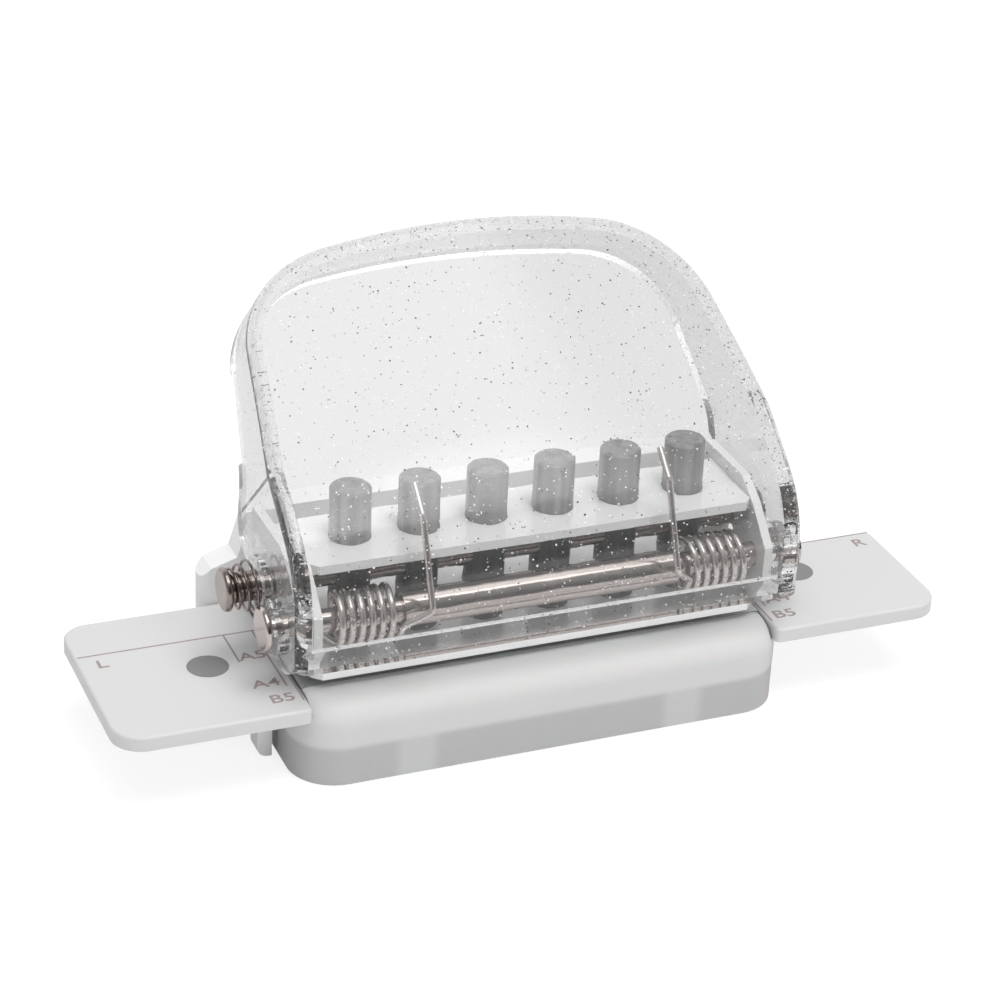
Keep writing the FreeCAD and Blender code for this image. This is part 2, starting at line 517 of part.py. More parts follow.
# Open retaining rings in the two grooves.
for label, reach, along, height, core in (
        ("shaft_clip", "boss_reach + clip_gap", "-shaft_setback", "shaft_height", "shaft_radius"),
        ("rod_clip", "pad_reach + clip_gap", "0", "rod_height", "rod_radius")):
    title = label.title().replace("_", "")
    disc = bar(title + "Disc", f"{reach} + seat_gap", along, height, "clip_radius",
               "clip_thickness - 2 * seat_gap", X_AXIS)
    bore = bar(title + "Bore", f"{reach} - {BEYOND}", along, height, f"{core} - groove_depth + seat_gap",
               f"clip_thickness + {2 * BEYOND}", X_AXIS)
    mouth = block(title + "Mouth", f"{reach} - {BEYOND}", f"{along} - clip_mouth",
                  f"{height} - clip_radius - {BEYOND}", f"clip_thickness + {2 * BEYOND}",
                  "2 * clip_mouth", f"clip_radius + {BEYOND}")
    node(label, cut(title, disc, bore, mouth))


shaft_line = Vec(0, -size.shaft_setback, size.shaft_height)
rod_line = Vec(0, 0, size.rod_height)


# Hood's front panel: a profile from the lip up and over, with a crown that grows from the bend.
def profile_point(travel):
    """Point of the front profile at a distance up from its foot, and its slope from the level."""
    bend = size.front_bend_radius * math.radians(size.front_bend_turn)
    sweep = size.sweep_radius * math.radians(size.sweep_turn)
    start = Vec(0, -size.hood_front, size.bend_start)
    slope = math.pi / 2
    rest = travel - panel_rise
    if rest <= 0:
        return start + Z_AXIS * rest, slope
    for length, radius in ((bend, size.front_bend_radius), (sweep, size.sweep_radius)):
        inward = Vec(0, math.sin(slope), -math.cos(slope))
        centre = start + inward * radius
        turned = min(rest, length) / radius
        slope -= turned
        start = centre - Vec(0, math.sin(slope), -math.cos(slope)) * radius
        rest -= length
        if rest <= 0:
            return start, slope
    return start + Vec(0, math.cos(slope), math.sin(slope)) * rest, slope


def panel_point(travel, x, inset):
    """Point of the crowned panel at x, moved inward by inset."""
    spot, slope = profile_point(travel)
    outward = Vec(0, -math.sin(slope), math.cos(slope))
    growth = max(travel - size.crown_start, 0) / size.crown_run
    bulge = size.crown * growth ** size.crown_power * (1 - (x / size.hood_half_width) ** 2)
    return spot + X_AXIS * x + outward * (bulge - inset)


# Springs: one tube each, along arcs joined tangent to tangent.
def arc_between(start, heading, finish):
    """Arc from start, leaving along heading, to finish; a straight line where they are in line."""
    chord = finish - start
    square = chord - heading * chord.dot(heading)
    if square.Length < NEAR ** 2 * chord.Length:
        return Part.makeLine(start, finish)
    square.normalize()
    radius = chord.Length ** 2 / (2 * chord.dot(square))
    centre = start + square * radius
    outward = (start - centre + finish - centre).normalize()
    return Part.Arc(start, centre + outward * radius, finish).toShape()


def biarc(start, heading, finish, arrival):
    """Two arcs from start to finish that keep both end directions."""
    chord = finish - start
    spread = 2 * (1 - heading.dot(arrival))
    along = chord.dot(heading + arrival)
    reach = (math.sqrt(along ** 2 + spread * chord.dot(chord)) - along) / spread
    first, last = start + heading * reach, finish - arrival * reach
    joint = (first + last) * 0.5
    return [arc_between(start, heading, joint), arc_between(joint, (last - first).normalize(), finish)]


def helix(centre, radii, first_angle, swept, advance):
    """Points and headings of a helix about X, about four to a turn; radii run from first to last."""
    points, headings = [], []
    steps = math.ceil(abs(swept) * 4 / math.tau)
    for step in range(steps + 1):
        share = step / steps
        angle = first_angle + swept * share
        radius = radii[0] + (radii[1] - radii[0]) * share
        radial = Vec(0, math.cos(angle), math.sin(angle))
        around = Vec(0, -math.sin(angle), math.cos(angle))
        points.append(centre + X_AXIS * (advance * share) + radial * radius)
        heading = around * (radius * swept) + radial * (radii[1] - radii[0]) + X_AXIS * advance
        headings.append(heading.normalize())
    return points, headings


def helix_edges(points, headings):
    edges = []
    for k in range(len(points) - 1):
        edges += biarc(points[k], headings[k], points[k + 1], headings[k + 1])
    return edges


def bent_run(corners, radius):
    """Straight runs through corners, with a tangent arc of the given radius at each inner one."""
    edges, start = [], corners[0]
    for before, corner, after in zip(corners, corners[1:], corners[2:]):
        into, out = (corner - before).normalize(), (after - corner).normalize()
        reach = radius * math.tan(into.getAngle(out) / 2)
        first, last = corner - into * reach, corner + out * reach
        edges += [Part.makeLine(start, first), arc_between(first, into, last)]
        start = last
    return edges + [Part.makeLine(start, corners[-1])]


def tube(edges, wire_radius):
    """Round wire along joined edges."""
    heading = edges[0].tangentAt(edges[0].FirstParameter)
    start = edges[0].valueAt(edges[0].FirstParameter)
    section = Part.Wire(Part.makeCircle(wire_radius, start, heading))
    return Part.Wire(edges).makePipeShell([section], True, False)


def least_self_gap(edges, wire_radius, apart):
    """Least clear distance between stretches of a wire that lie at least apart along it."""
    points = []
    for edge in edges:
        first, last = edge.FirstParameter, edge.LastParameter
        points += [edge.valueAt(first + (last - first) * k / SAMPLES) for k in range(SAMPLES)]
    travelled = [0]
    for before, after in zip(points, points[1:]):
        travelled.append(travelled[-1] + (after - before).Length)
    return min((points[i] - points[j]).Length for i in range(len(points)) for j in range(i)
               if travelled[i] - travelled[j] > apart) - 2 * wire_radius


def spring_node(label, edges, wire_radius, coil_radius):
    gap = least_self_gap(edges, wire_radius, math.pi * coil_radius)
    print(f"{label}: least gap to itself {gap:.3f} mm")
    solid_node(label, tube(edges, wire_radius))


SAMPLES = 6  # points on each arc when a wire's gap is measured
panel_rise = size.hood_front  # the profile's foot lies this far below the bend, under the lip
flange_face = size.bed_height + size.slot_height + size.sheet_thickness
swept = math.radians(size.tail_angle - size.leg_angle) + math.tau * size.coil_turns
leg_inset = size.hood_wall + size.leg_gap + size.coil_wire
for side, sign in SIDES:
    coil_foot = shaft_line + X_AXIS * (sign * size.coil_start)
    advance = -sign * size.coil_pitch * swept / math.tau
    points, headings = helix(coil_foot, (size.coil_radius, size.coil_radius),
                             math.radians(size.tail_angle), -swept, advance)
    drop = (points[0].z - flange_face - size.coil_wire) / headings[0].z
    tail = Part.makeLine(points[0] - headings[0] * drop, points[0])
    leg_x = sign * size.leg_plane + size.leg_shift
    leg_foot = panel_rise + size.leg_foot_height - size.bend_start
    leg_stations = [leg_foot, leg_foot + size.leg_crook, leg_foot + size.leg_crook + size.leg_end]
    corners = [points[-1], points[-1] + headings[-1] * size.leg_rise]
    corners += [panel_point(station, leg_x, leg_inset) for station in leg_stations]
    spring_node(f"torsion_spring_{side}", [tail] + helix_edges(points, headings) +
                bent_run(corners, size.leg_bend), size.coil_wire, size.coil_radius)

cone_room = size.button_face - size.button_thickness - size.pad_reach - 2 * (size.cone_wire + size.seat_gap)
cone_foot = rod_line - X_AXIS * (size.pad_reach + size.cone_wire + size.seat_gap + cone_room)
points, headings = helix(cone_foot, (size.cone_small, size.cone_large), 0,
                         math.tau * size.cone_turns, cone_room)
spring_node("button_spring", helix_edges(points, headings), size.cone_wire, size.cone_small)


# Clear hood lever: the crowned panel turns back into side walls, with an ear at each end.
def panel_slab(inset, half_width):
    """Everything behind the panel, moved inward by inset, carried back along the rim."""
    grid = []
    for station in range(PANEL_ROWS + 1):
        travel = PAST_RIM * size.hood_reach * station / PANEL_ROWS
        grid.append([panel_point(travel, half_width * column / PANEL_COLUMNS, inset)
                     for column in range(-PANEL_COLUMNS, PANEL_COLUMNS + 1)])
    surface = Part.BSplineSurface()
    surface.interpolate(grid)
    return surface.toShape().extrude(rim_along * DEEP)


def arch_prism(inset):
    """Everything inside the hood's arched outline, which runs back along the rim's direction."""
    half = size.hood_half_width - inset
    reach = size.hood_reach - inset
    lean = math.tan(math.radians(size.side_lean))
    corner_x = half
    for _ in range(ROUNDS):
        corner_s = reach - corner_x ** 2 / (2 * size.top_bow_radius)
        corner_x = half - (corner_s - size.lean_start) * lean
    outline = [(half, -size.hood_reach), (half, size.lean_start), (corner_x, corner_s)]
    near = [shaft_line + X_AXIS * x + rim_up * s - rim_along * DEEP for x, s in outline]
    far = [Vec(-spot.x, spot.y, spot.z) for spot in near]
    top = shaft_line + rim_up * reach - rim_along * DEEP
    lines = [Part.makePolygon(near), Part.Arc(near[2], top, far[2]).toShape(), Part.makePolygon(far[::-1]),
             Part.makeLine(far[0], near[0])]
    edges = [edge for line in lines for edge in line.Edges]
    prism = Part.Face(Part.Wire(Part.sortEdges(edges)[0])).extrude(rim_along * (2 * DEEP))
    corners = [edge for edge in prism.Edges if edge.Curve.TypeId == "Part::GeomLine" and
               abs(edge.Length - 2 * DEEP) < NEAR and abs(abs(edge.CenterOfMass.x) - corner_x) < NEAR]
    return prism.makeFillet(size.hood_corner - inset, corners)


def side_prism(corners):
    """A Y-Z outline carried across the hood's width."""
    half = size.hood_half_width + BEYOND
    spots = [Vec(-half, y, z) for y, z in corners]
    return Part.Face(Part.makePolygon(spots + spots[:1])).extrude(X_AXIS * (2 * half))


def round_across(solid, radius, y, z):
    """Fillet the edge that runs across the hood's width at y and z."""
    edges = [edge for edge in solid.Edges if edge.Length > size.hood_half_width and
             math.hypot(edge.CenterOfMass.y - y, edge.CenterOfMass.z - z) < NEAR]
    return solid.makeFillet(radius, edges)


def rod_across(radius, start_x, length, at):
    return Part.makeCylinder(radius, length, at + X_AXIS * start_x, X_AXIS)


PANEL_ROWS, PANEL_COLUMNS = 48, 6  # spans of the panel's surface up and to each side
DEEP = 100  # longer than the hood is deep
PAST_RIM = 1.5  # how far the panel's surface runs, as a share of the hood's reach
ROUNDS = 8  # steps that settle where the arch's side meets its top
tilt = math.radians(size.rim_tilt)
rim_along = Vec(0, math.cos(tilt), -math.sin(tilt))
rim_up = Vec(0, math.sin(tilt), math.cos(tilt))
half = size.hood_half_width

# Outside: slab, arch and side outline in common, with the ears' round about the shaft.
foot_away = Vec(0, size.rear_foot_setback, size.rear_foot_height) - shaft_line
foot_angle = math.atan2(foot_away.z, foot_away.y) - math.acos(size.hood_ear_radius / foot_away.Length)
ear_tangent = shaft_line + Vec(0, math.cos(foot_angle), math.sin(foot_angle)) * size.hood_ear_radius
side = side_prism([
    (-DEEP, size.lip_bottom), (-size.shaft_setback, size.lip_bottom), (ear_tangent.y, ear_tangent.z),
    (size.rear_foot_setback, size.rear_foot_height), (size.rear_bend_setback, size.rear_bend_height),
    (size.rear_bend_setback + DEEP, size.rear_bend_height + DEEP), (-DEEP, size.rear_bend_height + DEEP)])
side = round_across(side, size.rear_bend_radius, size.rear_bend_setback, size.rear_bend_height)
side = round_across(side, size.rear_foot_radius, size.rear_foot_setback, size.rear_foot_height)
side = side.fuse(rod_across(size.hood_ear_radius, -half - BEYOND, 2 * (half + BEYOND), shaft_line))
outer = panel_slab(0, half + BEYOND).common(arch_prism(0)).common(side.removeSplitter())
front_edges = [edge for edge in outer.Edges if abs(middle(edge).z - size.lip_bottom) > NEAR and
               any(face.Surface.TypeId == "Part::GeomBSplineSurface"
                   for face in outer.ancestorsOfType(edge, Part.Face))]
outer = outer.makeFillet(size.edge_radius, front_edges)

# Inside: the same forms moved in by the wall, stepped in front to leave the lip.
lip_back = size.lip_depth - size.hood_front
inner_side = side_prism([
    (-DEEP, size.lip_top), (lip_back, size.lip_top), (lip_back, -DEEP), (DEEP, -DEEP), (DEEP, DEEP),
    (-DEEP, DEEP)])
hollow = panel_slab(size.hood_wall, half + BEYOND).common(arch_prism(size.hood_wall)).common(inner_side)
hood = outer.cut(hollow)

# Ears: bosses on the shaft, pads round the rod, and the slots along the line from shaft to rod.
slot_span = rod_line - shaft_line
slot_way = Vec(slot_span).normalize()
slot_ends = [shaft_line + slot_way * (size.shaft_setback - size.slot_play),
             rod_line + slot_way * size.slot_play]
sunk = size.hood_wall / 2
for at, radius, reach in ((shaft_line, size.boss_radius, size.boss_reach),
                          (rod_line, size.pad_radius, size.pad_reach)):
    for start_x in (-reach, half - sunk):
        hood = hood.fuse(rod_across(radius, start_x, reach - half + sunk, at))
through = size.boss_reach + BEYOND
hood = hood.cut(rod_across(size.shaft_radius + size.running_gap, -through, 2 * through, shaft_line))
for start_x, radius in ((-through, size.collar_radius + size.slide_gap),
                        (0, size.rod_radius + size.slide_gap)):
    across = slot_way.cross(X_AXIS) * radius
    corners = [slot_ends[0] - across, slot_ends[1] - across, slot_ends[1] + across, slot_ends[0] + across]
    corners = [corner + X_AXIS * start_x for corner in corners]
    hood = hood.cut(Part.Face(Part.makePolygon(corners + corners[:1])).extrude(X_AXIS * through))
    for end in slot_ends:
        hood = hood.cut(rod_across(radius, start_x, through, end))
solid_node("handle_lever", hood.removeSplitter())

doc.recompute()
failed = [item.Name for item in doc.Objects if {"Invalid", "Error"} & set(item.State)]
failed += [item.Label for item in nodes if item.Shape.isNull() or not item.Shape.isValid()]
if failed:
    raise RuntimeError(f"these objects failed: {', '.join(failed)}")

os.makedirs("parts", exist_ok=True)
for item in nodes:
    item.Shape.exportStep(f"parts/{item.Label}.step")
    print(f"{item.Label}: {len(item.Shape.Solids)} solid(s), {item.Shape.Volume:.1f} mm3")
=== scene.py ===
import math
import random

import bmesh
import bpy
from mathutils import Matrix, Vector


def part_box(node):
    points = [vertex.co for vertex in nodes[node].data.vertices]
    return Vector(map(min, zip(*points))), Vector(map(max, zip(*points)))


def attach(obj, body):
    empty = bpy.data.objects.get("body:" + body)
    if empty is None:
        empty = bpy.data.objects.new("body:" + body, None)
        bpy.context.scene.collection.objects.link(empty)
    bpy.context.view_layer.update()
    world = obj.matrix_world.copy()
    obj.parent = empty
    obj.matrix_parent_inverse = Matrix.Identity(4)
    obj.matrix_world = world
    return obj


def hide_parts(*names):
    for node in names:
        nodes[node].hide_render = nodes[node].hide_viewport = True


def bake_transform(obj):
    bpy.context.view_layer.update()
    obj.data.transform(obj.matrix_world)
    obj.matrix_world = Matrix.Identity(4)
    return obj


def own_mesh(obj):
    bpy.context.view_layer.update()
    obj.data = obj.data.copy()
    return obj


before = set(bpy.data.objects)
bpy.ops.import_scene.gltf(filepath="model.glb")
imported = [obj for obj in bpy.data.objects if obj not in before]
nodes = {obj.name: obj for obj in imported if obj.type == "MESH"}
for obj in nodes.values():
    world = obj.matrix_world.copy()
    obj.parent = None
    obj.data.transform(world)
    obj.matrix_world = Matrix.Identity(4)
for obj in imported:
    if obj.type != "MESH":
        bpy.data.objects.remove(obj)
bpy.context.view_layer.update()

# Camera. A long lens stands in front and to the left of the punch and looks down on it, as in the
# photograph. It is turned a little about its own line of sight.
camera_place = Vector((-0.138489, -0.314131, 0.208092))
camera_azimuth = math.radians(-23.395)
camera_elevation = math.radians(27.5)
camera_roll = math.radians(2.9)
camera_data = bpy.data.cameras.new("camera")
camera_data.sensor_width = 36
camera_data.lens = 105.23
camera_data.clip_start = 0.01
camera = bpy.data.objects.new("camera", camera_data)
bpy.context.scene.collection.objects.link(camera)
back = Vector((math.sin(camera_azimuth) * math.cos(camera_elevation),
               -math.cos(camera_azimuth) * math.cos(camera_elevation), math.sin(camera_elevation)))
level_right = back.cross(Vector((0, 0, 1))).normalized() * -1
level_up = back.cross(level_right)
right = level_right * math.cos(camera_roll) + level_up * math.sin(camera_roll)
up = level_up * math.cos(camera_roll) - level_right * math.sin(camera_roll)
camera.matrix_world = Matrix.Translation(camera_place) @ Matrix((right, up, back)).transposed().to_4x4()
bpy.context.scene.camera = camera
bpy.context.scene.view_settings.view_transform = "Standard"

# Studio. A white table top that also whitens what metal and clear plastic show of it, and a pale
# room with one wide soft box overhead, a little to the front, a bright wall behind the punch and a
# darker strip behind the camera.
floor_mesh = bpy.data.meshes.new("table_top")
shape = bmesh.new()
bmesh.ops.create_grid(shape, x_segments=1, y_segments=1, size=6)
shape.to_mesh(floor_mesh)
shape.free()
table_top = bpy.data.objects.new("table_top", floor_mesh)
table_top.location.z = -0.0002
bpy.context.scene.collection.objects.link(table_top)


def joined(material, from_socket, to_socket):
    material.node_tree.links.new(from_socket, to_socket)


def shader_node(material, kind, **settings):
    """A shader node with some of its properties and inputs set."""
    node = material.node_tree.nodes.new(kind)
    for name, value in settings.items():
        if name in node.inputs:
            node.inputs[name].default_value = value
        elif hasattr(node, name):
            setattr(node, name, value)
        else:
            node.inputs[name.replace("_", " ")].default_value = value
    return node


def empty_material(name):
    material = bpy.data.materials.new(name)
    material.use_nodes = True
    material.node_tree.nodes.clear()
    return material


def calculated(tree, operation, *values):
    """Output of a math node whose inputs are numbers or sockets."""
    node = tree.nodes.new("ShaderNodeMath")
    node.operation = operation
    for socket, value in zip(node.inputs, values):
        if isinstance(value, (int, float)):
            socket.default_value = value
        else:
            tree.links.new(value, socket)
    return node.outputs[0]


table_paint = (0.86, 0.86, 0.865, 1)
table_dim = (0.25, 0.25, 0.25, 1)
table_glow = 0.82
table_glow_mirrored = 0.54


def white_table():
    """White paint; the camera sees it at full white, and metal and clear plastic a little below."""
    material = empty_material("table_white")
    paint = shader_node(material, "ShaderNodeBsdfDiffuse", Color=table_paint)
    lit = shader_node(material, "ShaderNodeEmission", Color=(1, 1, 1, 1))
    dim = shader_node(material, "ShaderNodeBsdfDiffuse", Color=table_dim)
    both = shader_node(material, "ShaderNodeAddShader")
    mix = shader_node(material, "ShaderNodeMixShader")
    out = shader_node(material, "ShaderNodeOutputMaterial")
    tree = material.node_tree
    seen_by = shader_node(material, "ShaderNodeLightPath").outputs
    mirrored = calculated(tree, "MAXIMUM", seen_by["Is Glossy Ray"], seen_by["Is Transmission Ray"])
    seen = calculated(tree, "MAXIMUM", seen_by["Is Camera Ray"], mirrored)
    glow = calculated(tree, "MULTIPLY_ADD", seen_by["Is Camera Ray"],
                      table_glow - table_glow_mirrored, table_glow_mirrored)
    joined(material, glow, lit.inputs["Strength"])
    joined(material, lit.outputs[0], both.inputs[0])
    joined(material, dim.outputs[0], both.inputs[1])
    joined(material, seen, mix.inputs[0])
    joined(material, paint.outputs[0], mix.inputs[1])
    joined(material, both.outputs[0], mix.inputs[2])
    joined(material, mix.outputs[0], out.inputs[0])
    return material


floor_mesh.materials.append(white_table())
room = bpy.data.worlds.new("room")
room.use_nodes = True
bpy.context.scene.world = room
room_level, room_mirrored, room_dark = 0.38, 0.32, 0.05
rear_wall_glow = 0.7
box_level, box_front_gain = 1.65, 2.3
box_edges = {"X": (-0.45, 0.41), "Y": (-0.45, 0.18)}
box_softness = 0.07
box_foot = (0.2, 0.4)
box_front = (-0.26, -0.36)
dark_strip = (-0.65, -0.9)
rear_wall = (0.5, 0.75)
rim_box_loss = 0.65


def soft_step(tree, value, start, end):
    """0 below start, 1 above end, and smooth between; it falls instead where end is the lower."""
    ramp = tree.nodes.new("ShaderNodeMapRange")
    ramp.interpolation_type = "SMOOTHSTEP"
    ramp.inputs["From Min"].default_value = min(start, end)
    ramp.inputs["From Max"].default_value = max(start, end)
    if end < start:
        ramp.inputs["To Min"].default_value, ramp.inputs["To Max"].default_value = 1, 0
    tree.links.new(value, ramp.inputs["Value"])
    return ramp.outputs[0]


def light_room(tree):
    """Brightness by direction: an even level and the soft box overhead. What metal and clear
    plastic mirror has a dark strip in front and a bright wall behind as well. The hood's own rim,
    which bends the view up to the box, shows it weaker and without the strip."""
    way = tree.nodes.new("ShaderNodeTexCoord")
    split = tree.nodes.new("ShaderNodeSeparateXYZ")
    tree.links.new(way.outputs["Generated"], split.inputs[0])
    box = soft_step(tree, split.outputs["Z"], *box_foot)
    for axis, (low, high) in box_edges.items():
        rise = soft_step(tree, split.outputs[axis], low - box_softness, low + box_softness)
        fall = soft_step(tree, split.outputs[axis], high + box_softness, high - box_softness)
        box = calculated(tree, "MULTIPLY", calculated(tree, "MULTIPLY", box, rise), fall)
    seen_by = tree.nodes.new("ShaderNodeLightPath").outputs
    single = calculated(tree, "LESS_THAN", seen_by["Transmission Depth"], 3)
    rim = calculated(tree, "MULTIPLY", seen_by["Is Transmission Ray"], single)
    box = calculated(tree, "MULTIPLY", box, calculated(tree, "MULTIPLY_ADD", rim, -rim_box_loss, 1))
    open_front = soft_step(tree, split.outputs["Y"], *dark_strip)
    front = calculated(tree, "MULTIPLY", open_front, calculated(tree, "SUBTRACT", 1, rim))
    mirrored = calculated(tree, "MAXIMUM", seen_by["Is Glossy Ray"], seen_by["Is Transmission Ray"])
    walls = calculated(tree, "MULTIPLY_ADD", front, room_dark - room_mirrored, room_mirrored - room_level)
    level = calculated(tree, "MULTIPLY_ADD", mirrored, walls, room_level)
    rear = calculated(tree, "MULTIPLY", mirrored, soft_step(tree, split.outputs["Y"], *rear_wall))
    level = calculated(tree, "MULTIPLY_ADD", rear, rear_wall_glow, level)
    near = soft_step(tree, split.outputs["Y"], *box_front)
    strength = calculated(tree, "MULTIPLY_ADD", near, (box_front_gain - 1) * box_level, box_level)
    level = calculated(tree, "MULTIPLY_ADD", box, strength, level)
    beyond = calculated(tree, "SUBTRACT", 1, level)
    level = calculated(tree, "MULTIPLY_ADD", seen_by["Is Camera Ray"], beyond, level)
    tree.nodes["Background"].inputs["Color"].default_value = (1, 1, 1, 1)
    tree.links.new(level, tree.nodes["Background"].inputs["Strength"])


light_room(room.node_tree)


def soft_lamp(name, place, width, height, power):
    """A rectangular lamp at place that faces the punch and that polished things don't mirror."""
    data = bpy.data.lights.new(name, "AREA")
    data.shape = "RECTANGLE"
    data.size, data.size_y = width, height
    data.energy = power
    lamp = bpy.data.objects.new(name, data)
    lamp.location = place
    aim = Vector((0, 0, 0.02)) - Vector(place)
    lamp.rotation_euler = aim.to_track_quat("-Z", "Y").to_euler()
    lamp.visible_glossy = False
    lamp.visible_transmission = False
    data.cycles.use_multiple_importance_sampling = False
    bpy.context.scene.collection.objects.link(lamp)


soft_lamp("overhead", (0.12, -0.15, 0.9), 0.5, 0.5, 4.7)
soft_lamp("front_fill", (0.25, -0.8, 0.35), 0.5, 0.4, 1.7)
soft_lamp("left_fill", (-0.8, -0.25, 0.3), 0.5, 0.4, 0.6)

# Base. White satin moulded plastic: deck, end cheeks and the raised rear wall in one piece, with a
# fine moulded texture and a faint slow drift in its colour.
base_white = (0.82, 0.82, 0.82)


def new_sockets(group, side, defaults):
    """Named sockets of a node group: a number, a direction of three or a colour of four."""
    for name, default in defaults.items():
        length = len(default) if isinstance(default, tuple) else 1
        kind = {1: "NodeSocketFloat", 3: "NodeSocketVector", 4: "NodeSocketColor"}[length]
        group.interface.new_socket(name, in_out=side, socket_type=kind).default_value = default


def grain_group():
    """Effect: slow colour drift and fine surface grain of a moulded or worn surface."""
    group = bpy.data.node_groups.new("surface_grain", "ShaderNodeTree")
    new_sockets(group, "INPUT", {"Colour": (0.8, 0.8, 0.8, 1), "Drift": 0.04, "Drift Scale": 60,
                                 "Roughness": 0.4, "Grain": 0.08, "Grain Scale": 2500,
                                 "Stretch": (1, 1, 1)})
    new_sockets(group, "OUTPUT", {"Colour": (0, 0, 0, 1), "Roughness": 0, "Height": 0})
    add = group.nodes.new
    link = group.links.new
    given = add("NodeGroupInput").outputs
    made = add("NodeGroupOutput").inputs
    place = add("ShaderNodeVectorMath")
    place.operation = "MULTIPLY"
    link(add("ShaderNodeTexCoord").outputs["Object"], place.inputs[0])
    link(given["Stretch"], place.inputs[1])
    noises = []
    for scale, detail in (("Drift Scale", 3), ("Grain Scale", 2)):
        noise = add("ShaderNodeTexNoise")
        noise.inputs["Detail"].default_value = detail
        link(place.outputs[0], noise.inputs["Vector"])
        link(given[scale], noise.inputs["Scale"])
        noises.append(noise.outputs["Fac"])
    slow, fine = noises
    shade = add("ShaderNodeMapRange")
    shade.inputs["To Min"].default_value = 1
    link(slow, shade.inputs["Value"])
    link(calculated(group, "SUBTRACT", 1, given["Drift"]), shade.inputs["To Max"])
    tint = add("ShaderNodeVectorMath")
    tint.operation = "SCALE"
    link(given["Colour"], tint.inputs[0])
    link(shade.outputs[0], tint.inputs["Scale"])
    link(tint.outputs[0], made["Colour"])
    link(calculated(group, "MULTIPLY_ADD", fine, given["Grain"], given["Roughness"]), made["Roughness"])
    link(fine, made["Height"])
    return group


surface_grain = grain_group()


def finished(name, colour, roughness, drift=0.04, drift_scale=60, grain=0.08, grain_scale=2500,
             bump=0.02, stretch=(1, 1, 1), **sockets):
    """A Principled material whose colour, roughness and fine relief come from the surface grain."""
    material = empty_material(name)
    grained = shader_node(material, "ShaderNodeGroup", node_tree=surface_grain)
    for socket, value in (("Colour", (*colour, 1)), ("Drift", drift), ("Drift Scale", drift_scale),
                          ("Roughness", roughness), ("Grain", grain), ("Grain Scale", grain_scale),
                          ("Stretch", stretch)):
        grained.inputs[socket].default_value = value
    relief = shader_node(material, "ShaderNodeBump", Strength=bump, Distance=0.0001)
    surface = shader_node(material, "ShaderNodeBsdfPrincipled", **sockets)
    out = shader_node(material, "ShaderNodeOutputMaterial")
    joined(material, grained.outputs["Colour"], surface.inputs["Base Color"])
    joined(material, grained.outputs["Roughness"], surface.inputs["Roughness"])
    joined(material, grained.outputs["Height"], relief.inputs["Height"])
    joined(material, relief.outputs["Normal"], surface.inputs["Normal"])
    joined(material, surface.outputs[0], out.inputs["Surface"])
    return material


def dress(material, *names):
    """Give CAD nodes this material in place of the one that they came with."""
    for name in names:
        mesh = nodes[name].data
        mesh.materials.clear()
        mesh.materials.append(material)


satin_white = finished("satin_white_plastic", base_white, 0.42, drift=0.03, Coat_Weight=0.05)
dress(satin_white, "base_body")

# Chip tray. Frosted, slightly see-through plastic with painted shade on its hollow front under the solid
# paper bed, half as dark where one of the two ribs stands behind the front wall.
frosted = finished("frosted_plastic", (0.78, 0.78, 0.78), 0.42, drift=0.02, grain=0.1, bump=0.05,
                   Transmission_Weight=0.3, IOR=1.49, Subsurface_Weight=0.15, Subsurface_Scale=0.002)
bed_underside, bed_edge = 0.0054, 0.0005
rib_place, rib_half_width, rib_edge = 0.019, 0.0026, 0.0009
# Painted shade: the tray is drawn darker below the paper bed, where its hollow lies in shade, and less
# dark in front of the ribs.
painted_hollow_shade = 0.27


def shade_group():
    """Effect: a colour darkened by an amount where a mask says."""
    group = bpy.data.node_groups.new("shaded_part", "ShaderNodeTree")
    new_sockets(group, "INPUT", {"Colour": (0.8, 0.8, 0.8, 1), "Mask": 0, "Amount": 0.3})
    new_sockets(group, "OUTPUT", {"Colour": (0, 0, 0, 1)})
    given = group.nodes.new("NodeGroupInput").outputs
    tint = group.nodes.new("ShaderNodeVectorMath")
    tint.operation = "SCALE"
    loss = calculated(group, "MULTIPLY", given["Mask"], given["Amount"])
    group.links.new(given["Colour"], tint.inputs[0])
    group.links.new(calculated(group, "SUBTRACT", 1, loss), tint.inputs["Scale"])
    group.links.new(tint.outputs[0], group.nodes.new("NodeGroupOutput").inputs["Colour"])
    return group


shaded_part = shade_group()


def place_in_piece(material):
    """The X, Y and Z of a point of the piece, in the object's own frame."""
    split = shader_node(material, "ShaderNodeSeparateXYZ")
    joined(material, shader_node(material, "ShaderNodeTexCoord").outputs["Object"], split.inputs[0])
    return split.outputs


def shade_part(material, mask, amount):
    """Darken the material's colour by amount where mask is 1."""
    surface = next(node for node in material.node_tree.nodes if node.type == "BSDF_PRINCIPLED")
    shaded = shader_node(material, "ShaderNodeGroup", node_tree=shaded_part)
    shaded.inputs["Amount"].default_value = amount
    joined(material, surface.inputs["Base Color"].links[0].from_socket, shaded.inputs["Colour"])
    joined(material, mask, shaded.inputs["Mask"])
    joined(material, shaded.outputs["Colour"], surface.inputs["Base Color"])


def paint_hollow_shade(material):
    """Paint shade on the plastic below the solid paper bed, and half as much where a rib stands behind
    it.
    """
    tree = material.node_tree
    place = place_in_piece(material)
    below = soft_step(tree, place["Z"], bed_underside + bed_edge, bed_underside - bed_edge)
    aside = calculated(tree, "ABSOLUTE", place["X"])
    from_rib = calculated(tree, "ABSOLUTE", calculated(tree, "SUBTRACT", aside, rib_place))
    clear_of_rib = soft_step(tree, from_rib, rib_half_width - rib_edge, rib_half_width + rib_edge)
    painted_hollow_mask = calculated(tree, "MULTIPLY", below, calculated(tree, "MULTIPLY_ADD", clear_of_rib, 0.5, 0.5))
    shade_part(material, painted_hollow_mask, painted_hollow_shade)


paint_hollow_shade(frosted)
dress(frosted, "chip_tray")
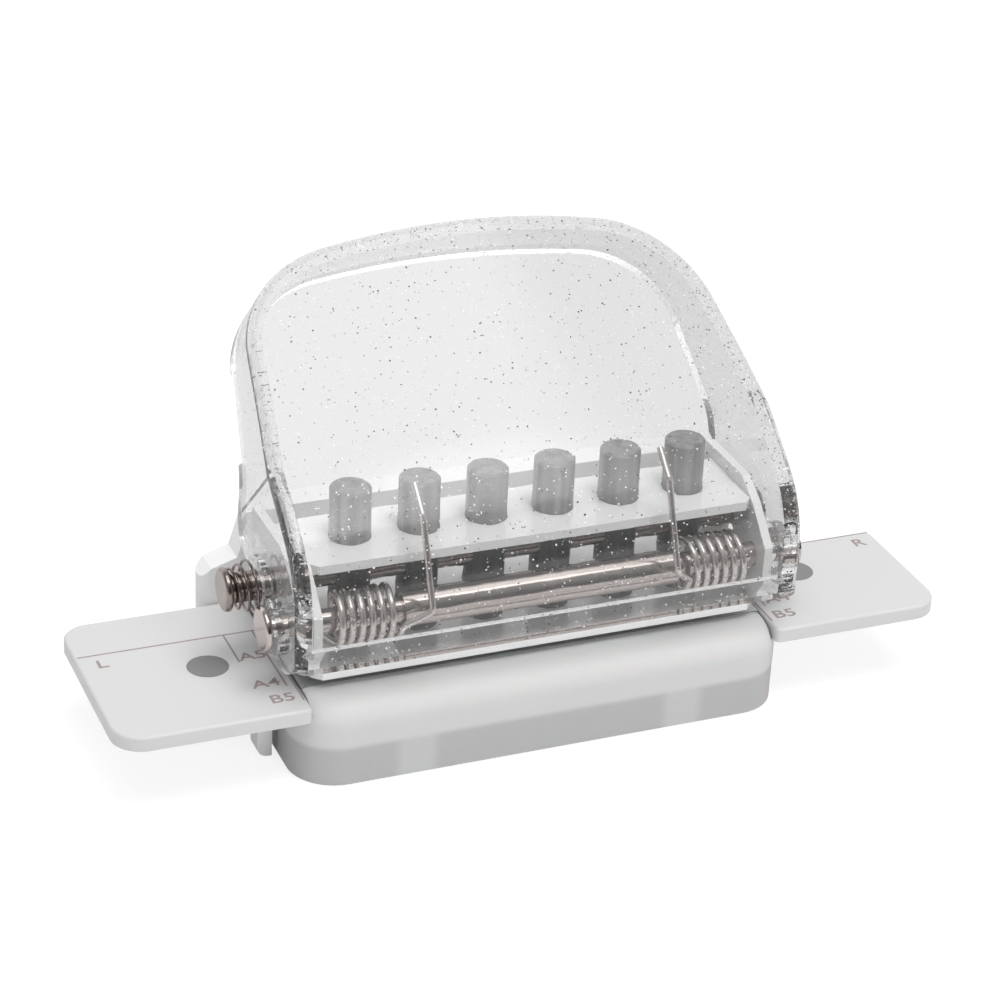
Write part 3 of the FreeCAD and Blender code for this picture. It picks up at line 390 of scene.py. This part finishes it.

# Guide plates. White satin plates with rounded outer corners; a dark grey disc sits flush in each as
# painted shade for the shadow down the locator hole, and thin brown-grey lines and letters mark the paper
# sizes.
plate_white = finished("guide_plate_white", (0.57, 0.568, 0.57), 0.38, drift=0.02, Coat_Weight=0.08)
dress(plate_white, "guide_plate_left", "guide_plate_right")
# Painted shade: the dark grey disc stands for the shadow seen down the hole through the plate.
locator_grey = finished("locator_grey", (0.21, 0.21, 0.21), 0.55, drift=0.06, bump=0.05)
dress(locator_grey, "locator_left", "locator_right")
print_ink = finished("print_ink", (0.33, 0.27, 0.265), 0.6, drift=0.15, drift_scale=900)
plate_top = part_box("guide_plate_left")[1].z
sides = (("left", -1), ("right", 1))
ink_thickness = 0.00002
line_width = 0.00024
fence_line, fence_end = 0.00708, 0.0583
size_ticks = ((0.0385, -0.0002), (0.0345, -0.0077), (0.0335, -0.0117))
marks = {"mark": (0.0556, 0.0046), "size_a5": (0.0364, 0.0008), "size_a4": (0.0369, -0.0064),
         "size_b5": (0.0360, -0.0105)}
cap_share = 0.7
letter_height, letter_width, letter_boldness = 0.0019, 1.2, 0.00003


def flat_strip(mesh, start, end, width):
    """A thin printed line as a low closed bar from start to end."""
    start, end = Vector((*start, plate_top)), Vector((*end, plate_top))
    across = (end - start).normalized().cross(Vector((0, 0, 1))) * (width / 2)
    rise = Vector((0, 0, ink_thickness))
    low = [start - across, end - across, end + across, start + across]
    corners = [mesh.verts.new(spot) for spot in low + [spot + rise for spot in low]]
    for face in ((3, 2, 1, 0), (4, 5, 6, 7), (0, 1, 5, 4), (1, 2, 6, 5), (2, 3, 7, 6), (3, 0, 4, 7)):
        mesh.faces.new([corners[k] for k in face])


def printed_lines(side, sign):
    """The fence line across a plate and the tick of each paper size."""
    mesh = bmesh.new()
    inner = abs(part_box(f"guide_plate_{side}")[0 if sign > 0 else 1].x)
    flat_strip(mesh, (sign * inner, fence_line), (sign * fence_end, fence_line), line_width)
    for reach, foot in size_ticks:
        flat_strip(mesh, (sign * reach, fence_line), (sign * reach, foot), line_width)
    data = bpy.data.meshes.new(f"printed_lines_{side}")
    mesh.to_mesh(data)
    mesh.free()
    data.materials.append(print_ink)
    piece = bpy.data.objects.new(f"printed_lines_{side}", data)
    bpy.context.scene.collection.objects.link(piece)
    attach(piece, "base")


def printed_letters(name, text, place):
    """Wide plain letters, drawn with capitals one unit high and then made as small as the print."""
    curve = bpy.data.curves.new(name, "FONT")
    curve.body = text
    curve.size = 1 / cap_share
    curve.offset = letter_boldness / letter_height
    curve.extrude = ink_thickness / 2 / letter_height
    curve.resolution_u = 4
    curve.align_x = "CENTER"
    curve.align_y = "CENTER"
    curve.materials.append(print_ink)
    holder = bpy.data.objects.new(name + "_curve", curve)
    bpy.context.scene.collection.objects.link(holder)
    bpy.context.view_layer.update()
    filled = holder.evaluated_get(bpy.context.evaluated_depsgraph_get())
    data = bpy.data.meshes.new_from_object(filled)
    bpy.data.objects.remove(holder)
    data.name = name
    data.transform(Matrix.Diagonal((letter_width * letter_height, letter_height, letter_height, 1)))
    piece = bpy.data.objects.new(name, data)
    piece.location = (*place, plate_top + ink_thickness / 2)
    bpy.context.scene.collection.objects.link(piece)
    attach(piece, "base")


for side, sign in sides:
    printed_lines(side, sign)
for side, sign in sides:
    for name, (across, along) in marks.items():
        text = side[0].upper() if name == "mark" else name[-2:].upper()
        printed_letters(f"{name}_{side}", text, (sign * across, along))

# Die and paper stop. Ground steel strips under the frame; only their edges and the dark slot
# between them show.
ground_steel = finished("ground_steel", (0.62, 0.625, 0.63), 0.42, drift=0.15, drift_scale=200,
                        grain=0.15, grain_scale=900, stretch=(0.1, 1, 1), bump=0.1, Metallic=0.7)
dress(ground_steel, "die_plate", "paper_stop")

# Punch frame and pin guide. Folded sheet with glossy white paint that mirrors the pins.
white_paint = finished("gloss_white_paint", (0.78, 0.78, 0.78), 0.16, drift=0.03, grain=0.05,
                       grain_scale=600, bump=0.03, Coat_Weight=0.4, Coat_Roughness=0.06)
dress(white_paint, "punch_frame", "pin_guide")

# Pins. Ground steel rods with fine lines drawn along their length, and painted shade on them below the
# guide.
pin_steel = finished("pin_steel", (0.51, 0.51, 0.51), 0.34, drift=0.8, drift_scale=800, grain=0.25,
                     grain_scale=1400, stretch=(1, 1, 0.04), bump=0.15, Metallic=0.85)
pin_names = [f"punch_pin_{number}" for number in range(1, 7)]
guide_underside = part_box("pin_guide")[0].z
# Painted shade: the pins are drawn darker below the guide, where it shades them.
painted_pin_shade, pin_shade_edge = 0.72, 0.0012


def shade_pins_below_guide(material):
    """Paint shade on the length of each pin below the upper guide."""
    height = place_in_piece(material)["Z"]
    pin_shade_mask = soft_step(material.node_tree, height, guide_underside + pin_shade_edge, guide_underside)
    shade_part(material, pin_shade_mask, painted_pin_shade)


shade_pins_below_guide(pin_steel)
dress(pin_steel, *pin_names)

# Shaft, sleeve, cross rod, clips and screws. Bright nickel plate with a warm cast, duller on the rod.
nickel = finished("bright_nickel", (0.66, 0.59, 0.56), 0.12, drift=0.12, drift_scale=350, grain=0.06,
                  grain_scale=1800, stretch=(0.05, 1, 1), bump=0.02, Metallic=1.0)
dress(nickel, "hinge_shaft", "spacer_sleeve", "frame_screws", "shaft_clip", "rod_clip")
dull_nickel = finished("dull_nickel", (0.42, 0.36, 0.335), 0.16, drift=0.3, drift_scale=500, grain=0.1,
                       grain_scale=1800, stretch=(0.05, 1, 1), bump=0.04, Metallic=1.0)
dress(dull_nickel, "lock_rod")

# Springs. Nickel-plated wire, darker on the thin cone spring. The torsion springs sit between the
# frame and the hood and keep their place; the cone spring behind the button rides with the lock rod.
wire_nickel = finished("nickel_wire", (0.86, 0.80, 0.77), 0.24, drift=0.08, drift_scale=700, grain=0.04,
                       grain_scale=2500, bump=0.0, Metallic=1.0)
button_wire_nickel = finished("dark_nickel_wire", (0.30, 0.25, 0.235), 0.2, drift=0.15, drift_scale=700,
                              grain=0.04, grain_scale=2500, bump=0.0, Metallic=1.0)


def own_copy(node, name, material):
    """A piece of its own with the CAD node's mesh, which stands for that node."""
    piece = bpy.data.objects.new(name, nodes[node].data.copy())
    bpy.context.scene.collection.objects.link(piece)
    piece.data.materials.clear()
    piece.data.materials.append(material)
    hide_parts(node)
    return piece


for side, sign in sides:
    wire = own_copy(f"torsion_spring_{side}", f"torsion_wire_{side}", wire_nickel)
    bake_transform(wire)
cone = own_copy("button_spring", "button_wire", button_wire_nickel)
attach(cone, "lock_rod")
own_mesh(cone)

# Hood lever. Clear moulded plastic with a light grey cast and silver flecks in its wall, drawn as
# matte white and black flakes with painted glints and painted shade. It casts no shadow of its own,
# so the lamps reach the pins under it.
clear_tint = (0.88, 0.88, 0.88, 1)
milk_white = (0.85, 0.85, 0.85, 1)
haze_low, haze_high = 0.018, 0.045
haze_rise = (0.027, 0.036)


def clear_plastic():
    """Clear plastic, clean at the foot and a little hazier up the panel, which hands rub."""
    material = empty_material("clear_plastic")
    glass = shader_node(material, "ShaderNodeBsdfPrincipled", Base_Color=clear_tint, Roughness=0.03,
                        IOR=1.47, Transmission_Weight=1.0)
    milk = shader_node(material, "ShaderNodeBsdfPrincipled", Base_Color=milk_white, Roughness=0.5)
    hazy = shader_node(material, "ShaderNodeMixShader")
    raised = soft_step(material.node_tree, place_in_piece(material)["Z"], *haze_rise)
    haze = calculated(material.node_tree, "MULTIPLY_ADD", raised, haze_high - haze_low, haze_low)
    joined(material, haze, hazy.inputs[0])
    let_through = shader_node(material, "ShaderNodeBsdfTransparent", Color=(1, 1, 1, 1))
    path = shader_node(material, "ShaderNodeLightPath")
    mix = shader_node(material, "ShaderNodeMixShader")
    out = shader_node(material, "ShaderNodeOutputMaterial")
    joined(material, glass.outputs[0], hazy.inputs[1])
    joined(material, milk.outputs[0], hazy.inputs[2])
    joined(material, path.outputs["Is Shadow Ray"], mix.inputs[0])
    joined(material, hazy.outputs[0], mix.inputs[1])
    joined(material, let_through.outputs[0], mix.inputs[2])
    joined(material, mix.outputs[0], out.inputs[0])
    return material


clear = clear_plastic()
dress(clear, "handle_lever")

fleck_counts = {"light": 4200, "dark": 1800}
fleck_depth = (0.0003, 0.0017)
fleck_radius = (0.00007, 0.00016)
# Painted glints and painted shade: the white flakes stand for silver flakes that catch the light, and the
# black ones for flakes that face away from it.
glint_painted_fleck = finished("glint_painted_fleck", (0.97, 0.97, 0.97), 0.35, drift=0.05, drift_scale=2000)
shade_painted_fleck = finished("shade_painted_fleck", (0.09, 0.09, 0.09), 0.35, drift=0.5, drift_scale=2000)


def fleck_cloud(name, count):
    """Small six-sided flakes at random tilts inside the hood's wall."""
    dice = random.Random(count)
    skin = nodes["handle_lever"].data
    skin.calc_loop_triangles()
    triangles = [triangle for triangle in skin.loop_triangles if triangle.area > 0]
    picked = dice.choices(triangles, weights=[triangle.area for triangle in triangles], k=count)
    mesh = bmesh.new()
    for triangle in picked:
        corners = [skin.vertices[index].co for index in triangle.vertices]
        first, second = sorted((dice.random(), dice.random()))
        spot = corners[0] * first + corners[1] * (second - first) + corners[2] * (1 - second)
        spot = spot - triangle.normal * dice.uniform(*fleck_depth)
        axis = Vector((dice.gauss(0, 1), dice.gauss(0, 1), dice.gauss(0, 1)))
        turn = Matrix.Rotation(dice.uniform(0, math.tau), 4, axis)
        bmesh.ops.create_circle(mesh, cap_ends=True, segments=6, radius=dice.uniform(*fleck_radius),
                                matrix=Matrix.Translation(spot) @ turn)
    data = bpy.data.meshes.new(name)
    mesh.to_mesh(data)
    mesh.free()
    return data


for tone, material in (("light", glint_painted_fleck), ("dark", shade_painted_fleck)):
    cloud = fleck_cloud(f"{tone}_flecks", fleck_counts[tone])
    cloud.materials.append(material)
    flecks = bpy.data.objects.new(f"{tone}_flecks", cloud)
    bpy.context.scene.collection.objects.link(flecks)
    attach(flecks, "handle")
